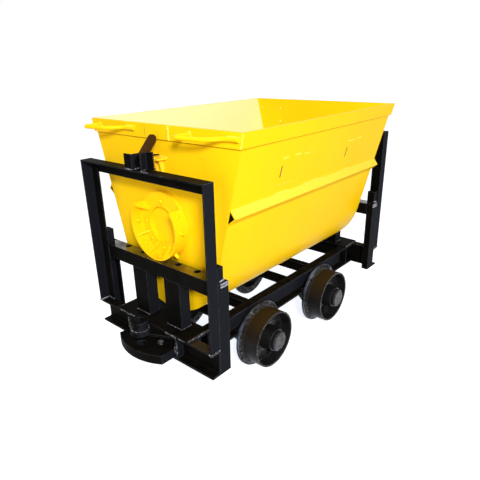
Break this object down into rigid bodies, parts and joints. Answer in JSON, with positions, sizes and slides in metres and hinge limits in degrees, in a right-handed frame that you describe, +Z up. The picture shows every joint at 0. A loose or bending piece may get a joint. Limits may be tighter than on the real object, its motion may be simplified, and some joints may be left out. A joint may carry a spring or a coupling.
{
  "type": "side tipping mine cart",
  "caption": "Two-axle mine cart with a round-bottomed tub that rolls sideways on rocker rings between square end frames.",
  "frame": {"origin": "on the floor under the middle of the cart, level with the bottom of the wheel flanges", "axes": "+X along the track towards the front end, +Y to the left, +Z up"},
  "size_m": [1.8036, 0.966, 1.265],
  "materials": {
    "tub_paint": "semi-gloss yellow paint",
    "frame_paint": "satin black paint",
    "wheel_paint": "painted casting, satin black"
  },
  "bodies": {
    "frame": {"sill_left": "frame_paint", "sill_right": "frame_paint", "cross_members": "frame_paint", "headstock_rear": "frame_paint", "cap_plate_rear": "frame_paint", "end_posts_rear": "frame_paint", "top_bar_rear": "frame_paint", "short_posts_rear": "frame_paint", "inner_posts_rear": "frame_paint", "latch_brackets_rear": "frame_paint", "headstock_front": "frame_paint", "cap_plate_front": "frame_paint", "end_posts_front": "frame_paint", "top_bar_front": "frame_paint", "short_posts_front": "frame_paint", "inner_posts_front": "frame_paint", "latch_brackets_front": "frame_paint", "rocker_bars": "frame_paint", "latch_levers": "frame_paint", "coupler_plates": "frame_paint", "bumpers": "frame_paint", "axle_seats": "frame_paint"},
    "rockers": {"rocker_collars": "tub_paint"},
    "tub": {"tub_shell": "tub_paint", "rim_band": "tub_paint", "side_rail_left": "tub_paint", "side_rail_right": "tub_paint", "rocker_rings": "tub_paint", "handles": "tub_paint", "tub_end_rear": "tub_paint", "catch_rear": "tub_paint", "tub_end_front": "tub_paint", "catch_front": "tub_paint"},
    "wheelset_rear": {"axle_rear": "frame_paint", "wheels_rear": "wheel_paint"},
    "wheelset_front": {"axle_front": "frame_paint", "wheels_front": "wheel_paint"}
  },
  "joints": [
    {"name": "rocker_travel", "type": "slide", "parent": "frame", "child": "rockers", "axis": [0, 1, 0], "range_m": [-0.113, 0.113]},
    {"name": "tub_rock", "type": "hinge", "parent": "rockers", "child": "tub", "pos_m": [0, 0, 0.81936], "axis": [-1, 0, 0], "range_deg": [-40, 40]},
    {"name": "wheelset_rear_spin", "type": "hinge", "parent": "frame", "child": "wheelset_rear", "pos_m": [-0.295, 0, 0.176], "axis": [0, 1, 0], "continuous": true},
    {"name": "wheelset_front_spin", "type": "hinge", "parent": "frame", "child": "wheelset_front", "pos_m": [0.295, 0, 0.176], "axis": [0, 1, 0], "continuous": true}
  ],
  "couplings": [
    {"joint": "rocker_travel", "follows": "tub_rock", "m_per_rad": 0.15406}
  ]
}
